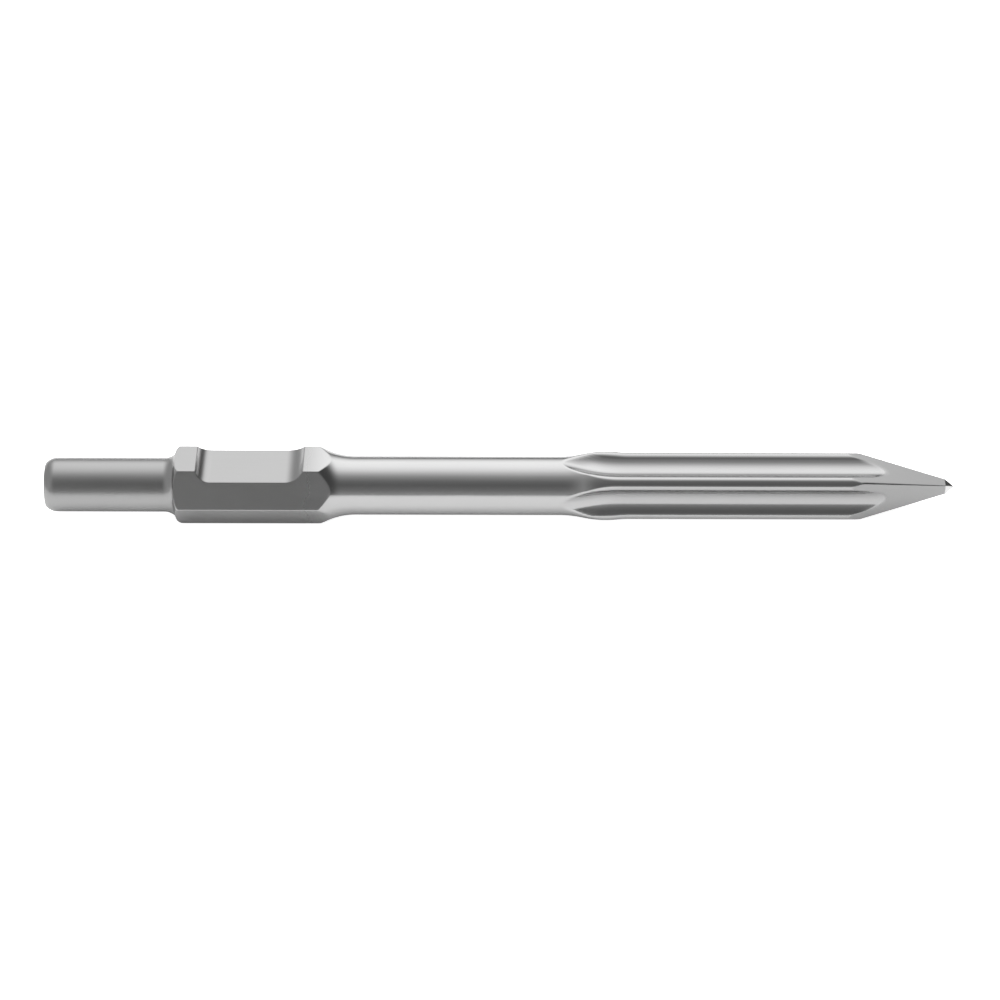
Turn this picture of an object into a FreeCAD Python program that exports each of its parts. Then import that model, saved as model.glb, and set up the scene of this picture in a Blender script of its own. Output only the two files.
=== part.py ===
import FreeCAD, Part

# Pointed breaker chisel: one forged steel bar with a hard tip brazed into its point.
# The origin is the centre of the striking face, +X runs along the bar to the point,
# and +Z is the side with the retaining notch. All sizes are in millimetres.
import math
import os

V = FreeCAD.Vector

overall_length = 400.0

# Striking end: a round neck with a rolled rim
neck_diameter = 23.8
neck_length = 52.0
rim_length = 4.8            # along the bar
rim_depth = 2.0             # towards the axis

# Collar: the hollow flare up to the hexagon's turned end
flare_length = 4.7
flare_rise = 1.8
collar_step_length = 0.7    # steep wall between the flare and the rounded corner
collar_round_length = 3.0   # turned rounding of the hexagon's end
collar_round_drop = 2.0

# Hexagon that the hammer's holder grips
hex_across_flats = 30.0
hex_edge_radius = 0.5
turning_allowance = 0.2     # turned bar's radius over the hexagon's corners
grip_length = 75.8          # from the collar's rounding to the foot of the shoulder
shoulder_radius = 30.0
shoulder_angle = 27.0       # cone that cuts off the hexagon's corners

# Retaining notch across the top flat
notch_depth = 4.3
notch_floor_offset = 12.8   # from the collar's rounding to the flat floor
notch_floor_length = 32.6
notch_start_run = 6.3       # curved end nearer the striking face
notch_end_run = 8.0         # longer curved end nearer the point

# Round shaft and the four ridges with flutes between them
shaft_diameter = 26.0
shaft_length = 89.8         # from the foot of the shoulder to where the ridges swell
ridge_swell_length = 20.5
crown_diameter = 30.3       # slight swelling where the ridges reach full height
crown_settle_length = 10.5
ridge_diameter = 29.3
ridge_width = 6.2
ridge_count = 4
ridge_edge_radius = 2.3
flute_radius = 9.0
flute_offset = 2.0          # from the ridges' start to where a flute leaves the shaft's surface
flute_ramp_angle = 16.0
flute_ramp_blend = 30.0     # radius of the floor where the ramp turns level

# Ground point and its hard tip
point_edge_angle = 17.05    # of the point's edges, from the axis
tip_length = 4.0
tip_edge_angle = 40.5
stem_length = 9.0
stem_diameter = 3.2
braze_gap = 0.15

# Worked out from the sizes above
neck_radius = neck_diameter / 2
shaft_radius = shaft_diameter / 2
ridge_radius = ridge_diameter / 2
crown_radius = crown_diameter / 2
hex_corner_radius = hex_across_flats / math.sqrt(3)
blank_radius = hex_corner_radius + turning_allowance
flare_end = neck_length + flare_length
step_end = flare_end + collar_step_length
collar_end = step_end + collar_round_length
shoulder_end = collar_end + grip_length
ridge_start = shoulder_end + shaft_length
flute_ramp_start = ridge_start + flute_offset
notch_floor_height = hex_across_flats / 2 - notch_depth
notch_floor_start = collar_end + notch_floor_offset
notch_floor_end = notch_floor_start + notch_floor_length
tip_start = overall_length - tip_length
tip_edge_radius = tip_length * math.tan(math.radians(tip_edge_angle))
point_slope = math.tan(math.radians(point_edge_angle))
flute_centre = (ridge_width / 2 + flute_radius) * math.sqrt(2)
flute_floor = flute_centre - flute_radius
cutter_reach = 2 * blank_radius     # cutters stand out past the bar by this much
surface_tolerance = 0.01
wall_share = 0.8            # most of a wall that a turned rounding may take


def level_arc(x, r, run, rise):
    """Arc from the level point (x, r) to (x + run, r + rise), in the XZ plane."""
    radius = (run ** 2 + rise ** 2) / (2 * abs(rise))
    half_turn = math.asin(min(1.0, abs(run) / radius)) / 2
    middle_run = math.copysign(radius * math.sin(half_turn), run)
    middle_rise = math.copysign(radius * (1 - math.cos(half_turn)), rise)
    start = V(x, 0, r)
    middle = V(x + middle_run, 0, r + middle_rise)
    end = V(x + run, 0, r + rise)
    return Part.Arc(start, middle, end).toShape()


def s_curve(x0, r0, x1, r1):
    """Two equal arcs, level at both ends."""
    run = (x1 - x0) / 2
    rise = (r1 - r0) / 2
    return [level_arc(x0, r0, run, rise), level_arc(x1, r1, -run, -rise)]


def line(x0, r0, x1, r1):
    return Part.makeLine(V(x0, 0, r0), V(x1, 0, r1))


def face_of(edges):
    return Part.Face(Part.Wire(Part.__sortEdges__(edges)))


def turned_bar():
    """The bar as turned, over the corners of the hexagon and the tops of the ridges."""
    flare_radius = neck_radius + flare_rise
    collar_drop = min(collar_round_drop, wall_share * (blank_radius - flare_radius))
    shoulder_limit = wall_share * (blank_radius - shaft_radius)
    turn = min(math.radians(shoulder_angle), math.acos(1 - shoulder_limit / shoulder_radius))
    shoulder_run = shoulder_radius * math.sin(turn)
    shoulder_rise = shoulder_radius * (1 - math.cos(turn))
    blend_start = shoulder_end - shoulder_run
    blend_radius = shaft_radius + shoulder_rise
    cone_start = blend_start - (blank_radius - blend_radius) / math.tan(turn)
    crown_at = ridge_start + ridge_swell_length
    crown_end = crown_at + crown_settle_length
    edges = [
        line(0, 0, 0, neck_radius - rim_depth),
        level_arc(rim_length, neck_radius, -rim_length, -rim_depth),
        line(rim_length, neck_radius, neck_length, neck_radius),
        level_arc(neck_length, neck_radius, flare_length, flare_rise),
        line(flare_end, flare_radius, step_end, blank_radius - collar_drop),
        level_arc(collar_end, blank_radius, -collar_round_length, -collar_drop),
        line(collar_end, blank_radius, cone_start, blank_radius),
        line(cone_start, blank_radius, blend_start, blend_radius),
        level_arc(shoulder_end, shaft_radius, -shoulder_run, shoulder_rise),
        line(shoulder_end, shaft_radius, ridge_start, shaft_radius),
    ]
    edges += s_curve(ridge_start, shaft_radius, crown_at, crown_radius)
    edges += s_curve(crown_at, crown_radius, crown_end, ridge_radius)
    edges.append(line(crown_end, ridge_radius, overall_length, ridge_radius))
    edges.append(line(overall_length, ridge_radius, overall_length, 0))
    edges.append(line(overall_length, 0, 0, 0))
    bar = face_of(edges).revolve(V(0, 0, 0), V(1, 0, 0), 360)
    bar.rotate(V(0, 0, 0), V(1, 0, 0), 180 / ridge_count)    # its seam then runs along a ridge
    return bar


def shank_blank():
    """Hexagonal bar with rounded edges and a flat on top, and full round past the shoulder."""
    angles = [math.radians(60 * k) for k in range(7)]
    points = [V(0, math.cos(angle), math.sin(angle)) * hex_corner_radius for angle in angles]
    bar = Part.Face(Part.makePolygon(points)).extrude(V(shoulder_end, 0, 0))
    long_edges = [edge for edge in bar.Edges if edge.BoundBox.XLength > shoulder_end / 2]
    bar = bar.makeFillet(hex_edge_radius, long_edges)
    round_length = overall_length - shoulder_end
    return bar.fuse(Part.makeCylinder(cutter_reach, round_length, V(shoulder_end, 0, 0), V(1, 0, 0)))


def notch_cutter():
    top = notch_floor_height + notch_depth
    start = notch_floor_start - notch_start_run
    end = notch_floor_end + notch_end_run
    edges = [
        line(start, cutter_reach, start, top),
        level_arc(notch_floor_start, notch_floor_height, -notch_start_run, notch_depth),
        line(notch_floor_start, notch_floor_height, notch_floor_end, notch_floor_height),
        level_arc(notch_floor_end, notch_floor_height, notch_end_run, notch_depth),
        line(end, top, end, cutter_reach),
        line(end, cutter_reach, start, cutter_reach),
    ]
    cutter = face_of(edges).extrude(V(0, 2 * cutter_reach, 0))
    cutter.translate(V(0, -cutter_reach, 0))
    return cutter


def flute_cutter():
    """Round-bottomed 90 degree groove along the top that climbs out at its start."""
    ramp = math.radians(flute_ramp_angle)
    tangent = flute_radius / math.sqrt(2)
    ramp_kink = flute_ramp_start + (shaft_radius - flute_floor) / math.tan(ramp)
    level_start = ramp_kink + flute_ramp_blend * math.tan(ramp / 2)
    low = flute_centre - tangent
    rise = cutter_reach - low
    left = V(level_start, -tangent, low)
    right = V(level_start, tangent, low)
    far_left = V(level_start, -tangent - rise, cutter_reach)
    far_right = V(level_start, tangent + rise, cutter_reach)
    bottom = V(level_start, 0, flute_floor)
    section = face_of([
        Part.makeLine(far_left, left),
        Part.Arc(left, bottom, right).toShape(),
        Part.makeLine(right, far_right),
        Part.makeLine(far_right, far_left),
    ])
    hinge = V(level_start, 0, flute_floor + flute_ramp_blend)
    blend = section.revolve(hinge, V(0, 1, 0), flute_ramp_angle)
    level = section.extrude(V(overall_length, 0, 0))
    climb = section.copy()
    climb.rotate(hinge, V(0, 1, 0), flute_ramp_angle)
    climb = climb.extrude(V(-math.cos(ramp), 0, math.sin(ramp)) * cutter_reach * 2)
    return level.fuse([blend, climb]).removeSplitter()


def four_sided_spike(apex_x, edge_slope, from_x):
    """Four-sided pyramid whose edges lie over the ridges."""
    half = (apex_x - from_x) * edge_slope * math.sqrt(0.5)
    corners = [V(from_x, y, z) for y, z in ((half, half), (-half, half), (-half, -half), (half, -half))]
    apex = V(apex_x, 0, 0)
    base = Part.Face(Part.makePolygon(corners + corners[:1]))
    sides = [Part.Face(Part.makePolygon([corners[k], corners[(k + 1) % 4], apex, corners[k]]))
             for k in range(4)]
    return Part.makeSolid(Part.makeShell([base] + sides))


def point_blank():
    """Everything that lies inside the ground point's four faces."""
    apex = tip_start + tip_edge_radius / point_slope
    return four_sided_spike(apex, point_slope, -overall_length)


def tip_socket(clearance):
    return Part.makeCylinder(stem_diameter / 2 + clearance, stem_length + clearance,
                             V(tip_start, 0, 0), V(-1, 0, 0))


def ridge_edges(bar, turned):
    """Lengthwise edges where the flutes meet the turned surface."""
    first_x = (ridge_start + flute_ramp_start) / 2
    found = []
    for edge in bar.Edges:
        lengthwise = edge.BoundBox.XLength > ridge_edge_radius / 2
        if edge.BoundBox.XMin < first_x or not lengthwise:
            continue
        middle = Part.Vertex(edge.valueAt((edge.FirstParameter + edge.LastParameter) / 2))
        if middle.distToShape(turned.Shells[0])[0] < surface_tolerance:
            found.append(edge)
    return found


def chisel_body():
    turned = turned_bar()
    bar = turned.common(shank_blank())
    bar = bar.cut(notch_cutter())
    cutter = flute_cutter()
    for k in range(ridge_count):
        groove = cutter.copy()
        groove.rotate(V(0, 0, 0), V(1, 0, 0), k * 360 / ridge_count)
        bar = bar.cut(groove)
    bar = bar.removeSplitter()
    bar = bar.makeFillet(ridge_edge_radius, ridge_edges(bar, turned))
    bar = bar.common(point_blank())
    end_cut = Part.makeBox(2 * tip_length, cutter_reach, cutter_reach,
                           V(tip_start, -cutter_reach / 2, -cutter_reach / 2))
    bar = bar.cut(end_cut)
    return bar.cut(tip_socket(braze_gap))


def hard_tip():
    spike = four_sided_spike(overall_length, tip_edge_radius / tip_length, tip_start)
    return spike.fuse(tip_socket(0)).removeSplitter()


def braze_joint():
    return tip_socket(braze_gap).cut(tip_socket(0))


def save(node, shape):
    assert shape.isValid() and len(shape.Solids) == 1, node
    shape.Solids[0].exportStep("parts/" + node + ".step")
    print(node, "volume", round(shape.Volume, 1), "mm3")


os.makedirs("parts", exist_ok=True)
save("chisel_body", chisel_body())
save("hard_tip", hard_tip())
save("braze_joint", braze_joint())
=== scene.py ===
import math
import bpy
from mathutils import Matrix, Vector


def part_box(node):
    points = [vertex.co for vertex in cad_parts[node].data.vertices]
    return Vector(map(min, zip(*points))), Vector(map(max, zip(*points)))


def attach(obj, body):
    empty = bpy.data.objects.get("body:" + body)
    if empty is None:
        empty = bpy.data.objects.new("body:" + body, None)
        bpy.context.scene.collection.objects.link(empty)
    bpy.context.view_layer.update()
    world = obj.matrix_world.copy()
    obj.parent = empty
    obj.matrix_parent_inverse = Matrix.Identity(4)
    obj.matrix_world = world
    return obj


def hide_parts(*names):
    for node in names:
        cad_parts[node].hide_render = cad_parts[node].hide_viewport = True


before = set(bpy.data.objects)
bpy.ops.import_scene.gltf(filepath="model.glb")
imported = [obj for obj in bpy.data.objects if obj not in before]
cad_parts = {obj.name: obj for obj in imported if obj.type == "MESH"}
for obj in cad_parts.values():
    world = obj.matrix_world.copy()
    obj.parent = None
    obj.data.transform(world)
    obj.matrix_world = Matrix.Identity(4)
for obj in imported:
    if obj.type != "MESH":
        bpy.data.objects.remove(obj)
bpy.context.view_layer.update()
print("frame loaded")

mm = 0.001
quarter = math.pi / 2
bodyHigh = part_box("chisel_body")[1]
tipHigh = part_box("hard_tip")[1]

# the forged bar, from the striking face to the end of the ground point
bar = {
    "neckRadius": 11.9 * mm,
    "neckLength": 52.0 * mm,
    "rimLength": 4.8 * mm,
    "rimDepth": 2.0 * mm,
    "flareLength": 4.7 * mm,
    "flareRise": 1.8 * mm,
    "collarStep": 0.7 * mm,
    "collarRound": 3.0 * mm,
    "collarDrop": 2.0 * mm,
    "turningAllowance": 0.2 * mm,
    "gripLength": 75.8 * mm,
    "shoulderRadius": 30.0 * mm,
    "shoulderAngle": math.radians(27.0),
    "notchDepth": 4.3 * mm,
    "notchOffset": 12.8 * mm,
    "notchLength": 32.6 * mm,
    "notchStartRun": 6.3 * mm,
    "notchEndRun": 8.0 * mm,
    "shaftRadius": 13.0 * mm,
    "shaftLength": 89.8 * mm,
    "swellLength": 20.5 * mm,
    "crownRadius": 15.15 * mm,
    "crownLength": 10.5 * mm,
    "ridgeRadius": 14.65 * mm,
    "ridgeHalfWidth": 3.1 * mm,
    "fluteRadius": 9.0 * mm,
    "fluteOffset": 1.0 * mm,
    "rampAngle": math.radians(16.0),
    "pointAngle": math.radians(17.05),
    "tipAngle": math.radians(40.5),
    "hexagonEdge": 0.24 * mm,
    "notchEdge": 0.3 * mm,
    "ridgeEdge": 2.3 * mm,
    "rampEdge": 0.15 * mm,         # where a flute starts in the shaft
    "rampBlend": 3.4 * mm,
    "pointEdgeStart": 0.8 * mm,
    "pointEdgeEnd": 0.3 * mm,
    "facetLimit": math.radians(55.0),   # sharper edges than this are shaded sharp
    "socketRadius": 1.75 * mm,
    "socketDepth": 9.15 * mm,
    "balanceAt": 172.5 * mm,       # centre of the metal, along the bar
    "socketGap": 0.1 * mm,
    "linesAround": 240,
    "cuttingPasses": 48,
}
halfFlats = bodyHigh.z
pointEnd = bodyHigh.x
blankRadius = halfFlats / math.cos(math.pi / 6) + bar["turningAllowance"]
collarStart = bar["neckLength"] + bar["flareLength"] + bar["collarStep"]
collarEnd = collarStart + bar["collarRound"]
shoulderEnd = collarEnd + bar["gripLength"]
ridgeStart = shoulderEnd + bar["shaftLength"]
crownAt = ridgeStart + bar["swellLength"]
crownEnd = crownAt + bar["crownLength"]
rampStart = ridgeStart + bar["fluteOffset"]
notchStart = collarEnd + bar["notchOffset"]
notchEnd = notchStart + bar["notchLength"]
fluteCentre = (bar["ridgeHalfWidth"] + bar["fluteRadius"]) * math.sqrt(2)
pointSlope = math.tan(bar["pointAngle"])
pointApex = pointEnd + (tipHigh.x - pointEnd) * math.tan(bar["tipAngle"]) / pointSlope
pointStart = pointApex - bar["ridgeRadius"] / pointSlope


def arcRadius(run, rise):
    return (run ** 2 + rise ** 2) / (2 * abs(rise))


def levelArc(x, r, run, rise, steps):
    # an arc that starts level at x, r and ends run further along and rise further out
    radius = arcRadius(run, rise)
    turn = math.asin(min(1.0, abs(run) / radius))
    points = []
    for k in range(steps + 1):
        a = turn * k / steps
        along = math.copysign(radius * math.sin(a), run)
        points.append((x + along, r + math.copysign(radius * (1 - math.cos(a)), rise)))
    return points


def swell(x0, r0, x1, r1, steps):
    run, rise = (x1 - x0) / 2, (r1 - r0) / 2
    return levelArc(x0, r0, run, rise, steps) + levelArc(x1, r1, -run, -rise, steps)[::-1][1:]


def turnedOutline():
    # the bar as turned: place along the axis and radius
    neck, shaft, turn = bar["neckRadius"], bar["shaftRadius"], bar["shoulderAngle"]
    shoulderRun = bar["shoulderRadius"] * math.sin(turn)
    shoulderRise = bar["shoulderRadius"] * (1 - math.cos(turn))
    coneEnd = shoulderEnd - shoulderRun
    coneStart = coneEnd - (blankRadius - shaft - shoulderRise) / math.tan(turn)
    outline = levelArc(bar["rimLength"], neck, -bar["rimLength"], -bar["rimDepth"], 14)[::-1]
    outline += levelArc(bar["neckLength"], neck, bar["flareLength"], bar["flareRise"], 14)
    outline += levelArc(collarEnd, blankRadius, -bar["collarRound"], -bar["collarDrop"], 16)[::-1]
    outline += [(coneStart, blankRadius), (coneEnd, shaft + shoulderRise)]
    outline += levelArc(shoulderEnd, shaft, -shoulderRun, shoulderRise, 30)[::-1][1:]
    outline += swell(ridgeStart, shaft, crownAt, bar["crownRadius"], 12)
    outline += swell(crownAt, bar["crownRadius"], crownEnd, bar["ridgeRadius"], 8)[1:]
    return outline + [(pointEnd, bar["ridgeRadius"])]


def span(start, end, step):
    count = max(1, math.ceil((end - start) / step))
    return [start + (end - start) * k / count for k in range(count + 1)]


def ringPlaces(outline):
    # where the rings of the mesh stand, close together where the shape changes
    wallStart, wallEnd = notchStart - bar["notchStartRun"], notchEnd + bar["notchEndRun"]
    places = [x for x, r in outline]
    places += span(bar["rimLength"], bar["neckLength"], 6 * mm)
    places += span(collarEnd, wallStart - 1 * mm, 1.5 * mm)
    places += span(wallStart - 1 * mm, wallStart + 0.4 * mm, 0.14 * mm)
    places += [x for x, r in levelArc(notchStart, 0, -bar["notchStartRun"], bar["notchDepth"], 20)]
    places += span(notchStart, notchEnd, 3 * mm)
    places += [x for x, r in levelArc(notchEnd, 0, bar["notchEndRun"], bar["notchDepth"], 20)]
    places += span(wallEnd - 0.4 * mm, wallEnd + 0.8 * mm, 0.2 * mm)
    places += span(wallEnd + 0.8 * mm, shoulderEnd - 16 * mm, 1.5 * mm)
    places += span(shoulderEnd - 16 * mm, shoulderEnd - 6 * mm, 0.3 * mm)
    places += span(shoulderEnd, ridgeStart, 6 * mm)
    places += span(rampStart - 1.5 * mm, crownAt + 4 * mm, 0.45 * mm)
    places += span(crownEnd, pointStart - 9 * mm, 6 * mm)
    places += span(pointStart - 9 * mm, pointStart + 13 * mm, 0.5 * mm)
    places += span(pointStart + 13 * mm, pointEnd, 2 * mm)
    kept = []
    for place in sorted(places):
        if not kept or place - kept[-1] > 0.05 * mm:
            kept.append(place)
    kept[-1] = pointEnd
    return kept


def radiusAt(x, outline):
    for (x0, r0), (x1, r1) in zip(outline, outline[1:]):
        if x0 <= x <= x1 and x1 - x0 > 1e-9:
            return r0 + (r1 - r0) * (x - x0) / (x1 - x0)
    return outline[-1][1]


def ringLine():
    # one point for each ring, from the middle of the striking face to the bottom of the socket
    outline = turnedOutline()
    faceRadius = outline[0][1]
    points = [(0, 0), (0, faceRadius * 0.5), (0, faceRadius - 0.25 * mm)]
    points += [(x, radiusAt(x, outline)) for x in ringPlaces(outline)]
    hole, bottom = bar["socketRadius"], pointEnd - bar["socketDepth"]
    gap = bar["socketGap"]
    points += [(pointEnd, hole), (pointEnd - gap, hole), (bottom + gap, hole)]
    points += [(bottom, hole), (bottom, 0)]
    mesh = bpy.data.meshes.new("ringLine")
    edges = [(k, k + 1) for k in range(len(points) - 1)]
    mesh.from_pydata([(x, r, 0) for x, r in points], edges, [])
    return mesh


class Amount:
    # a varying number in a node tree, so that a rule reads as plain arithmetic
    def __init__(self, tree, socket):
        self.tree, self.socket = tree, socket

    def math(self, operation, *values):
        node = self.tree.nodes.new("ShaderNodeMath")
        node.operation = operation
        for place, value in zip(node.inputs, values):
            if isinstance(value, Amount):
                self.tree.links.new(value.socket, place)
            else:
                place.default_value = value
        return Amount(self.tree, node.outputs[0])

    def __add__(self, other):
        return self.math("ADD", self, other)

    def __sub__(self, other):
        return self.math("SUBTRACT", self, other)

    def __rsub__(self, other):
        return self.math("SUBTRACT", other, self)

    def __mul__(self, other):
        return self.math("MULTIPLY", self, other)

    def __truediv__(self, other):
        return self.math("DIVIDE", self, other)

    def least(self, other):
        return self.math("MINIMUM", self, other)

    def most(self, other):
        return self.math("MAXIMUM", self, other)

    def size(self):
        return self.math("ABSOLUTE", self)

    def square(self):
        return self * self

    def root(self):
        return self.math("SQRT", self.most(0.0))

    def over(self, place):
        return self.math("GREATER_THAN", self, place)

    def softMost(self, other, edge):
        return self.math("SMOOTH_MAX", self, other, edge)

    def roundMost(self, other, edge):
        # the greater of two distances, with the edge between them turned to that radius
        past = (self + edge).most(0.0).square() + (other + edge).most(0.0).square()
        return self.most(other).least(edge * -1.0) + past.root()

    def mapped(self, start, end, low, high, smooth=False):
        # straight or smooth run from low to high between start and end, level beyond them
        node = self.tree.nodes.new("ShaderNodeMapRange")
        node.interpolation_type = "SMOOTHSTEP" if smooth else "LINEAR"
        self.tree.links.new(self.socket, node.inputs["Value"])
        for name, value in zip(("From Min", "From Max", "To Min", "To Max"), (start, end, low, high)):
            node.inputs[name].default_value = value
        return Amount(self.tree, node.outputs["Result"])

    def bent(self, corners):
        # straight runs through the corners, each a pair of place and result
        total = corners[0][1]
        for (a, low), (b, high) in zip(corners, corners[1:]):
            total = self.mapped(a, b, 0.0, high - low) + total
        return total


def split(tree, socket):
    node = tree.nodes.new("ShaderNodeSeparateXYZ")
    tree.links.new(socket, node.inputs[0])
    return [Amount(tree, output) for output in node.outputs]


def joined(tree, x, y, z):
    node = tree.nodes.new("ShaderNodeCombineXYZ")
    for place, value in zip(node.inputs, (x, y, z)):
        if isinstance(value, Amount):
            tree.links.new(value.socket, place)
        else:
            place.default_value = value
    return node.outputs[0]


def newTree(name, sizes):
    tree = bpy.data.node_groups.new(name, "GeometryNodeTree")
    face = tree.interface
    face.new_socket("Geometry", in_out="INPUT", socket_type="NodeSocketGeometry")
    for label in sizes:
        kind = "NodeSocketInt" if isinstance(sizes[label], int) else "NodeSocketFloat"
        face.new_socket(label, in_out="INPUT", socket_type=kind)
    face.new_socket("Material", in_out="INPUT", socket_type="NodeSocketMaterial")
    face.new_socket("Geometry", in_out="OUTPUT", socket_type="NodeSocketGeometry")
    return tree


# the sizes that the tree of the bar takes as named inputs
barInputs = {
    "Lines Around": bar["linesAround"],
    "Cutting Passes": bar["cuttingPasses"],
    "Half Across Flats": halfFlats,
    "Hexagon Edge": bar["hexagonEdge"],
    "Notch Floor Height": halfFlats - bar["notchDepth"],
    "Notch Edge": bar["notchEdge"],
    "Flute Radius": bar["fluteRadius"],
    "Flute Centre": fluteCentre,
    "Ridge Edge": bar["ridgeEdge"],
    "Ramp Edge": bar["rampEdge"],
    "Ramp Blend": bar["rampBlend"],
    "Point Apex": pointApex,
    "Point Slope": pointSlope * math.cos(math.pi / 4),
    "Point Edge": bar["pointEdgeEnd"],
}


def notchRun(x):
    return x - x.most(notchStart).least(notchEnd)


def notchRadius(x):
    start = arcRadius(bar["notchStartRun"], bar["notchDepth"])
    end = arcRadius(bar["notchEndRun"], bar["notchDepth"])
    return (x.over((notchStart + notchEnd) / 2)) * (end - start) + start


def lineAngle(tree, x, turn, size):
    # turns the lines so that they crowd at the edges that each stretch of the bar has
    sixth = math.pi / 6
    hexagon = turn - turn.math("SINE", turn * 6.0) * (0.75 / 6)
    run, radius = notchRun(x), notchRadius(x)
    reach = run.most(0.0).least(bar["notchEndRun"]) - run.least(0.0).most(-bar["notchStartRun"])
    height = size["Notch Floor Height"] + radius - (radius.square() - reach.square()).root()
    height = height.least(halfFlats)
    across = (height * -0.5 + halfFlats) / math.cos(sixth)
    edge = across.math("ARCTAN2", across, height)          # the notch's edge, as an angle from the top
    aside = turn.math("WRAP", hexagon - quarter, math.pi, -math.pi)
    beta = aside.size()
    shifted = beta.least(sixth) * edge / sixth
    shifted = shifted + (beta - sixth).most(0.0).least(sixth) * (2 * sixth - edge) / sixth
    shifted = shifted + (beta - 2 * sixth).most(0.0)
    hexagon = turn.math("SIGN", aside) * shifted + quarter
    fromFlute = turn.math("WRAP", turn, quarter / 2, -quarter / 2)
    share = fromFlute.size() / (quarter / 2)
    degree = math.radians(1)
    grooved = [(0, 0), (0.36, 29.6), (0.72, 34.2), (0.86, 38.6), (1, 45)]
    ground = [(0, 0), (0.75, 39.0), (1, 45)]
    centre, side = turn - fromFlute, turn.math("SIGN", fromFlute)
    flutes = centre + side * share.bent([(u, a * degree) for u, a in grooved])
    point = centre + side * share.bent([(u, a * degree) for u, a in ground])
    toFlutes = x.mapped(shoulderEnd + 12 * mm, ridgeStart - 12 * mm, 0.0, 1.0, smooth=True)
    toPoint = x.mapped(pointStart + 12 * mm, pointStart + 20 * mm, 0.0, 1.0, smooth=True)
    aligned = turn.math("WRAP", hexagon - turn, math.pi, -math.pi) * (1 - toFlutes) + turn
    aligned = aligned + (flutes - turn) * toFlutes * (1 - toPoint)
    return aligned + (point - turn) * toPoint


def metalToCut(tree, x, y, z, size):
    # distance from a point to the finished surface, above nothing where metal is still to be cut
    half = y * math.cos(math.pi / 6)
    flats = size["Half Across Flats"]
    front = (z * 0.5 + half).size() - flats
    back = (z * 0.5 - half).size() - flats
    hexagon = front.roundMost(back, size["Hexagon Edge"])
    hexagon = hexagon.roundMost(z.size() - flats, size["Hexagon Edge"])
    hexagon = hexagon - x.mapped(shoulderEnd, shoulderEnd + 8 * mm, 0.0, 6 * mm)
    run, radius = notchRun(x), notchRadius(x)
    drop = size["Notch Floor Height"] + radius - z
    notch = radius - (run.square() + drop.square()).root()
    shank = hexagon.roundMost(notch, size["Notch Edge"])
    u, v = y.size().most(z.size()), y.size().least(z.size())
    climb = (x - rampStart) * -math.tan(bar["rampAngle"]) + bar["shaftRadius"]
    level = size["Flute Centre"] - size["Flute Radius"]
    centre = climb.softMost(level, size["Ramp Blend"]) + size["Flute Radius"]
    away = centre - u
    hollow = size["Flute Radius"] - (away.square() + v.square()).root()
    flank = (u - v - centre) / math.sqrt(2) + size["Flute Radius"]
    onFlank = v.math("GREATER_THAN", v, away)
    flute = hollow + (flank - hollow) * onFlank
    reach = (size["Point Apex"] - x) * size["Point Slope"]
    pointEdge = x.mapped(pointStart, pointEnd, bar["pointEdgeStart"], bar["pointEdgeEnd"])
    point = (u - reach).roundMost(v - reach, pointEdge)
    named = tree.nodes.new("GeometryNodeInputNamedAttribute")
    named.data_type = "FLOAT"
    named.inputs["Name"].default_value = "turnedRadius"
    turned = (y.square() + z.square()).root() - Amount(tree, named.outputs["Attribute"])
    cut = turned.roundMost(shank, size["Hexagon Edge"])
    ridgeEdge = x.mapped(rampStart + 1 * mm, crownAt + 4 * mm, 0.0, 1.0, smooth=True)
    ridgeEdge = size["Ramp Edge"] + (size["Ridge Edge"] - size["Ramp Edge"]) * ridgeEdge
    cut = cut.roundMost(flute, ridgeEdge)
    return cut.roundMost(point, size["Point Edge"])


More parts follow.
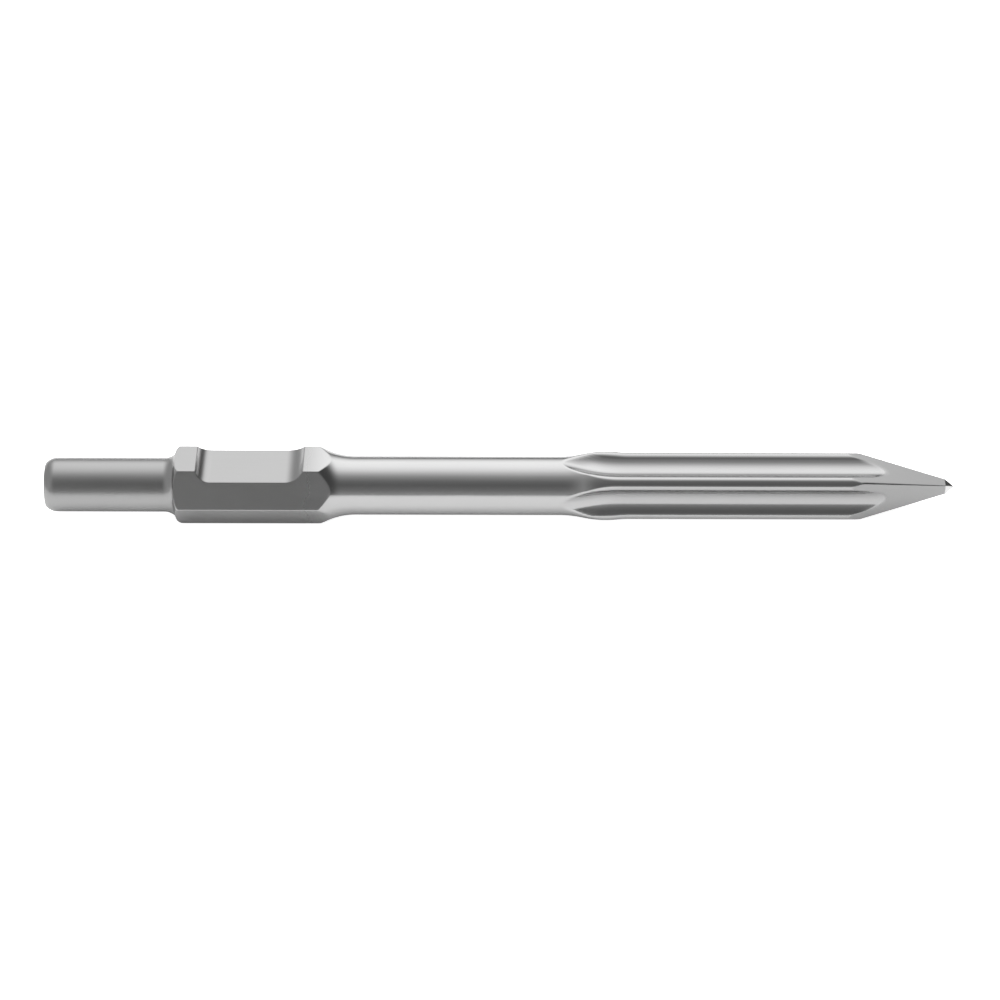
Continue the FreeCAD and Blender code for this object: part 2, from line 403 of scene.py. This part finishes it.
def barTree():
    tree = newTree("forgedBar", barInputs)
    nodes, link = tree.nodes, tree.links.new
    inside = nodes.new("NodeGroupInput")
    outside = nodes.new("NodeGroupOutput")
    size = {label: Amount(tree, inside.outputs[label]) for label in barInputs}

    count = nodes.new("GeometryNodeAttributeDomainSize")
    link(inside.outputs["Geometry"], count.inputs["Geometry"])
    lines = size["Lines Around"]
    grid = nodes.new("GeometryNodeMeshGrid")
    link(count.outputs["Point Count"], grid.inputs["Vertices X"])
    link((lines + 1.0).socket, grid.inputs["Vertices Y"])
    number = Amount(tree, nodes.new("GeometryNodeInputIndex").outputs[0])
    ring = number.math("FLOOR", (number + 0.5) / (lines + 1.0))
    turn = (number - ring * (lines + 1.0)) * (2 * math.pi) / lines

    sample = nodes.new("GeometryNodeSampleIndex")
    sample.data_type = "FLOAT_VECTOR"
    link(inside.outputs["Geometry"], sample.inputs["Geometry"])
    link(nodes.new("GeometryNodeInputPosition").outputs[0], sample.inputs["Value"])
    link(ring.socket, sample.inputs["Index"])
    x, radius, flat = split(tree, sample.outputs["Value"])

    store = nodes.new("GeometryNodeStoreNamedAttribute")
    store.data_type = "FLOAT"
    store.inputs["Name"].default_value = "turnedRadius"
    link(grid.outputs["Mesh"], store.inputs["Geometry"])
    link(radius.socket, store.inputs["Value"])

    angle = lineAngle(tree, x, turn, size)
    placed = joined(tree, x, radius * turn.math("COSINE", angle), radius * turn.math("SINE", angle))
    blank = nodes.new("GeometryNodeSetPosition")
    link(store.outputs["Geometry"], blank.inputs["Geometry"])
    link(placed, blank.inputs["Position"])

    # every pass moves each point towards the axis by the metal that is still to be cut
    start = nodes.new("GeometryNodeRepeatInput")
    end = nodes.new("GeometryNodeRepeatOutput")
    start.pair_with_output(end)
    link(size["Cutting Passes"].socket, start.inputs["Iterations"])
    link(blank.outputs["Geometry"], start.inputs["Geometry"])
    px, py, pz = split(tree, nodes.new("GeometryNodeInputPosition").outputs[0])
    cut = metalToCut(tree, px, py, pz, size)
    outward = nodes.new("ShaderNodeVectorMath")
    outward.operation = "NORMALIZE"
    link(joined(tree, 0.0, py, pz), outward.inputs[0])
    shift = nodes.new("ShaderNodeVectorMath")
    shift.operation = "SCALE"
    link(outward.outputs["Vector"], shift.inputs["Vector"])
    link((cut * -1.0).socket, shift.inputs["Scale"])
    move = nodes.new("GeometryNodeSetPosition")
    link(start.outputs["Geometry"], move.inputs["Geometry"])
    link(shift.outputs["Vector"], move.inputs["Offset"])
    link(move.outputs["Geometry"], end.inputs["Geometry"])

    merge = nodes.new("GeometryNodeMergeByDistance")
    merge.inputs["Distance"].default_value = 0.002 * mm
    link(end.outputs["Geometry"], merge.inputs["Geometry"])
    clean = nodes.new("GeometryNodeRemoveAttribute")
    clean.inputs["Name"].default_value = "turnedRadius"
    link(merge.outputs["Geometry"], clean.inputs["Geometry"])
    flip = nodes.new("GeometryNodeFlipFaces")      # the grid's faces come out facing the axis
    link(clean.outputs["Geometry"], flip.inputs["Mesh"])
    real = nodes.new("GeometryNodeRealizeInstances")
    link(flip.outputs["Mesh"], real.inputs["Geometry"])
    paint = nodes.new("GeometryNodeSetMaterial")
    link(real.outputs["Geometry"], paint.inputs["Geometry"])
    link(inside.outputs["Material"], paint.inputs["Material"])
    link(paint.outputs["Geometry"], outside.inputs["Geometry"])
    return tree


def grown(name, mesh, tree, values, material):
    # runs a tree on a mesh and keeps the result as a plain object
    maker = bpy.data.objects.new(name + "Maker", mesh)
    bpy.context.scene.collection.objects.link(maker)
    modifier = maker.modifiers.new(name, "NODES")
    modifier.node_group = tree
    for socket in tree.interface.items_tree:
        if socket.in_out == "INPUT" and socket.name in values:
            modifier[socket.identifier] = values[socket.name]
        if socket.in_out == "INPUT" and socket.name == "Material":
            modifier[socket.identifier] = material
    depsgraph = bpy.context.evaluated_depsgraph_get()
    result = bpy.data.meshes.new_from_object(maker.evaluated_get(depsgraph))
    maker.modifiers.remove(modifier)
    bpy.data.objects.remove(maker)
    result.name = name
    piece = bpy.data.objects.new(name, result)
    bpy.context.scene.collection.objects.link(piece)
    return piece


def shadeBySharpness(mesh, angle):
    mesh.shade_smooth()
    mesh.set_sharp_from_angle(angle=angle)


def effectGroup(name, inputs, outputs):
    tree = bpy.data.node_groups.new(name, "ShaderNodeTree")
    for label, kind, value in inputs:
        socket = tree.interface.new_socket(label, in_out="INPUT", socket_type=kind)
        if value is not None:
            socket.default_value = value
    for label, kind in outputs:
        tree.interface.new_socket(label, in_out="OUTPUT", socket_type=kind)
    return tree, tree.nodes.new("NodeGroupInput"), tree.nodes.new("NodeGroupOutput")


def noiseOf(tree, vector, scale, detail=2.0, roughness=0.5):
    node = tree.nodes.new("ShaderNodeTexNoise")
    tree.links.new(vector, node.inputs["Vector"])
    node.inputs["Scale"].default_value = scale
    node.inputs["Detail"].default_value = detail
    node.inputs["Roughness"].default_value = roughness
    return Amount(tree, node.outputs["Fac"])


def grindingGroup():
    # fine lines left by the wheel, along the bar or round it, and soft cloudy patches
    inputs = [("Vector", "NodeSocketVector", None), ("Round", "NodeSocketFloat", 0.0),
              ("Lines Per Metre", "NodeSocketFloat", 4000.0)]
    outputs = [("Height", "NodeSocketFloat"), ("Patches", "NodeSocketFloat")]
    tree, inside, outside = effectGroup("grindingLines", inputs, outputs)
    x, y, z = split(tree, inside.outputs["Vector"])
    around = Amount(tree, inside.outputs["Round"])
    lines = Amount(tree, inside.outputs["Lines Per Metre"])
    along = lines * (around * 0.98 + 0.02)
    across = lines * (1.0 - around * 0.98)
    fine = noiseOf(tree, joined(tree, x * along, y * across, z * across), 1.0, 3.0, 0.6)
    patches = noiseOf(tree, joined(tree, x * 40.0, y * 130.0, z * 130.0), 1.0, 2.0, 0.5)
    tree.links.new(fine.socket, outside.inputs["Height"])
    tree.links.new(patches.socket, outside.inputs["Patches"])
    return tree


def placeGroup(tree, group, vector, **values):
    node = tree.nodes.new("ShaderNodeGroup")
    node.node_tree = group
    tree.links.new(vector, node.inputs["Vector"])
    for label, value in values.items():
        place = node.inputs[label.replace("_", " ")]
        if isinstance(value, Amount):
            tree.links.new(value.socket, place)
        else:
            place.default_value = value
    return node


def newMetal(name):
    material = bpy.data.materials.new(name)
    material.use_nodes = True
    tree = material.node_tree
    shader = tree.nodes["Principled BSDF"]
    shader.inputs["Metallic"].default_value = 1.0
    coordinates = tree.nodes.new("ShaderNodeTexCoord").outputs["Object"]
    return material, tree, shader, coordinates


def greyColour(tree, shader, shade, tint):
    node = tree.nodes.new("ShaderNodeCombineColor")
    for place, share in zip(node.inputs, tint):
        tree.links.new((shade * share).socket, place)
    tree.links.new(node.outputs[0], shader.inputs["Base Color"])


def bumpFrom(tree, shader, height, distance, strength):
    node = tree.nodes.new("ShaderNodeBump")
    node.inputs["Distance"].default_value = distance
    node.inputs["Strength"].default_value = strength
    tree.links.new(height.socket, node.inputs["Height"])
    tree.links.new(node.outputs[0], shader.inputs["Normal"])


grinding = grindingGroup()

# the zone shades below (striking end, hexagon, flutes, ground point) are painted shade: the one steel
# is set darker or lighter zone by zone to stand in for how the light falls along the bar; the
# roughness values are each zone's finish
steel = {
    "shade": 0.42,
    "neckPaintedShade": 0.315,
    "gripPaintedShade": 0.33,
    "flutePaintedShade": 0.375,
    "pointPaintedShade": 0.3,
    "roughness": 0.17,
    "neckRoughness": 0.31,
    "gripRoughness": 0.3,
    "pointRoughness": 0.3,
}
hardMetal = {"shade": 0.56, "roughness": 0.02}
braze = {"shade": 0.7, "roughness": 0.3, "tint": (1.0, 0.72, 0.38)}
plainTint = (1.0, 1.0, 1.0)


def steelMaterial():
    material, tree, shader, coordinates = newMetal("forgedSteel")
    x, y, z = split(tree, coordinates)
    neck = x.mapped(bar["neckLength"], collarStart, 1.0, 0.0, smooth=True)
    u = y.size().most(z.size())
    pointFace = u - (pointApex - x) * (pointSlope * math.cos(math.pi / 4))
    ground = pointFace.mapped(-0.25 * mm, -0.1 * mm, 0.0, 1.0) * x.over(pointStart - 10 * mm)
    marks = placeGroup(tree, grinding, coordinates, Round=neck, Lines_Per_Metre=5000.0)
    fine, patches = Amount(tree, marks.outputs["Height"]), Amount(tree, marks.outputs["Patches"])
    grip = x.mapped(notchEnd + 4 * mm, shoulderEnd - 8 * mm, 1.0, 0.0, smooth=True)
    # painted shade: the hexagon and the striking end are made darker, and the flutes and the ground
    # point get their own brightness, standing in for the light along the bar, not a different metal
    shade = grip * (steel["gripPaintedShade"] - steel["shade"]) + steel["shade"]
    shade = shade + neck * (steel["neckPaintedShade"] - steel["gripPaintedShade"])
    fluted = x.mapped(rampStart + 10 * mm, crownEnd, 0.0, 1.0, smooth=True)
    shade = shade + fluted * (steel["flutePaintedShade"] - steel["shade"])
    shade = shade + ground * (steel["pointPaintedShade"] - steel["flutePaintedShade"])
    shade = shade * (patches * 0.06 + 0.97) * (fine * 0.06 + 0.97)
    greyColour(tree, shader, shade, plainTint)
    rough = grip * (steel["gripRoughness"] - steel["roughness"]) + steel["roughness"]
    rough = rough + neck * (steel["neckRoughness"] - steel["gripRoughness"])
    rough = rough + ground * (steel["pointRoughness"] - steel["roughness"])
    rough = rough + (patches - 0.5) * 0.08
    tree.links.new(rough.socket, shader.inputs["Roughness"])
    bumpFrom(tree, shader, fine, 0.006 * mm, 0.08)
    return material


def hardMetalMaterial():
    material, tree, shader, coordinates = newMetal("hardMetal")
    marks = placeGroup(tree, grinding, coordinates, Round=0.5, Lines_Per_Metre=9000.0)
    fine, patches = Amount(tree, marks.outputs["Height"]), Amount(tree, marks.outputs["Patches"])
    greyColour(tree, shader, fine * 0.06 + hardMetal["shade"], plainTint)
    tree.links.new((patches * 0.04 + hardMetal["roughness"]).socket, shader.inputs["Roughness"])
    bumpFrom(tree, shader, fine, 0.005 * mm, 0.2)
    return material


def brazeMaterial():
    material, tree, shader, coordinates = newMetal("brazeFiller")
    marks = placeGroup(tree, grinding, coordinates, Round=0.5, Lines_Per_Metre=3000.0)
    fine, patches = Amount(tree, marks.outputs["Height"]), Amount(tree, marks.outputs["Patches"])
    greyColour(tree, shader, patches * 0.1 + braze["shade"], braze["tint"])
    tree.links.new((fine * 0.1 + braze["roughness"]).socket, shader.inputs["Roughness"])
    bumpFrom(tree, shader, patches, 0.02 * mm, 0.4)
    return material


steelFinish = steelMaterial()
hardFinish = hardMetalMaterial()
brazeFinish = brazeMaterial()
print("finishes made")

chisel = grown("chiselBody", ringLine(), barTree(), barInputs, steelFinish)
shadeBySharpness(chisel.data, bar["facetLimit"])
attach(chisel, "root")
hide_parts("chisel_body")
print("chisel body made:", len(chisel.data.vertices), "points,", len(chisel.data.polygons), "faces")

for node, finish in (("hard_tip", hardFinish), ("braze_joint", brazeFinish)):
    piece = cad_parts[node]
    piece.data.materials.clear()
    piece.data.materials.append(finish)
    "hard_metal" if node == "hard_tip" else "braze_filler"
print("tip and braze finished")

studio = {
    "floorShade": 0.55,
    "floorLift": 0.15,
    "floorGlow": 0.8,             # seen by the camera only
    "floorSteps": 8,
    "floorSize": 8.0,
    "overheadPower": 66.0,
    "overheadSize": 2.0,
    "overheadHeight": 1.6,
    "rightEnd": 0.1,              # how bright the room is past the point
    "leftEnd": 0.62,              # and past the striking face
    "lens": 106.1,
    "distance": 1.3,
    "elevation": math.radians(40.5),
    "roll": math.radians(0.133),
    "lookAt": 199.9 * mm,
    "lookBelow": 6.42 * mm,
}


def restingLine():
    # the two points of the bar that it stands on, on either side of its middle
    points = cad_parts["chisel_body"].data.vertices
    corners = sorted({(round(v.co.x, 5), round(v.co.z, 5)) for v in points})
    hull = []
    for p in corners:
        while len(hull) > 1:
            (ax, az), (bx, bz) = hull[-2], hull[-1]
            if (bx - ax) * (p[1] - az) - (bz - az) * (p[0] - ax) > 0:
                break
            hull.pop()
        hull.append(p)
    for a, b in zip(hull, hull[1:]):
        if a[0] <= bar["balanceAt"] <= b[0]:
            return a, b


def floorPiece():
    (ax, az), (bx, bz) = restingLine()
    slope = (bz - az) / (bx - ax)
    half, steps = studio["floorSize"], studio["floorSteps"]
    points, faces = [], []
    for i in range(steps + 1):
        for j in range(steps + 1):
            x, y = half * (2 * i / steps - 1) + 0.2, half * (2 * j / steps - 1)
            points.append((x, y, az + (x - ax) * slope - 0.02 * mm))
    for i in range(steps):
        for j in range(steps):
            k = i * (steps + 1) + j
            faces.append((k, k + steps + 1, k + steps + 2, k + 1))
    mesh = bpy.data.meshes.new("floor")
    mesh.from_pydata(points, [], faces)
    material = bpy.data.materials.new("paleFloor")
    material.use_nodes = True
    tree = material.node_tree
    shader = tree.nodes["Principled BSDF"]
    shader.inputs["Roughness"].default_value = 0.9
    shader.inputs["Specular IOR Level"].default_value = 0.0
    shader.inputs["Base Color"].default_value = (*[studio["floorShade"]] * 3, 1)
    seen = Amount(tree, tree.nodes.new("ShaderNodeLightPath").outputs["Is Camera Ray"])
    shader.inputs["Emission Color"].default_value = (1, 1, 1, 1)
    glow = seen * studio["floorGlow"] + studio["floorLift"]
    tree.links.new(glow.socket, shader.inputs["Emission Strength"])
    mesh.materials.append(material)
    floor = bpy.data.objects.new("floor", mesh)
    bpy.context.scene.collection.objects.link(floor)


def studioRoom():
    # a room that is bright behind and above the bar, and dim in front and at both ends
    world = bpy.data.worlds.new("studioRoom")
    bpy.context.scene.world = world
    world.use_nodes = True
    tree = world.node_tree
    back = tree.nodes["Background"]
    coordinates = tree.nodes.new("ShaderNodeTexCoord").outputs["Generated"]
    x, y, z = split(tree, coordinates)
    rise = x.math("ARCTAN2", z, y) * (180 / math.pi)       # 0 at the back, 90 overhead, 180 in front
    light = rise.bent([(0, 0.2), (8, 0.3), (16, 0.9), (28, 1.7), (40, 2.0), (64, 1.85), (80, 1.5),
                       (94, 0.95), (106, 0.57), (124, 0.28), (140, 0.2), (160, 0.3), (176, 0.5)])
    end = x.mapped(0.35, 0.6, 0.0, 1.0, smooth=True)
    light = light * (1.0 - end) + end * studio["rightEnd"]
    dim = x.mapped(-0.1, -0.6, 0.0, 1.0, smooth=True)
    light = light * (1.0 - dim) + dim * studio["leftEnd"]
    tree.links.new(light.socket, back.inputs["Strength"])
    back.inputs["Color"].default_value = (1, 1, 1, 1)


def overheadLight():
    lamp = bpy.data.lights.new("overheadLight", "AREA")
    lamp.shape = "SQUARE"
    lamp.size = studio["overheadSize"]
    lamp.energy = studio["overheadPower"]
    light = bpy.data.objects.new("overheadLight", lamp)
    light.location = (0.2, 0.0, studio["overheadHeight"])
    light.visible_glossy = False
    light.visible_camera = False
    bpy.context.scene.collection.objects.link(light)


def addCamera():
    data = bpy.data.cameras.new("camera")
    data.lens = studio["lens"]
    data.sensor_width = 36
    data.clip_start = 0.01
    data.clip_end = 50
    tilt = studio["elevation"]
    back = Vector((0, -math.cos(tilt), math.sin(tilt)))
    up = Vector((0, math.sin(tilt), math.cos(tilt)))
    side = Vector((1, 0, 0))
    turned = Matrix.Rotation(studio["roll"], 3, back)
    sideAxis = turned @ side
    upAxis = turned @ up
    place = Vector((studio["lookAt"], 0, 0)) - up * studio["lookBelow"] + back * studio["distance"]
    matrix = Matrix((sideAxis, upAxis, back)).transposed().to_4x4()
    matrix.translation = place
    camera = bpy.data.objects.new("camera", data)
    bpy.context.scene.collection.objects.link(camera)
    camera.matrix_world = matrix
    bpy.context.scene.camera = camera


floorPiece()
studioRoom()
overheadLight()
addCamera()
bpy.context.scene.view_settings.view_transform = "Standard"
print("studio set")
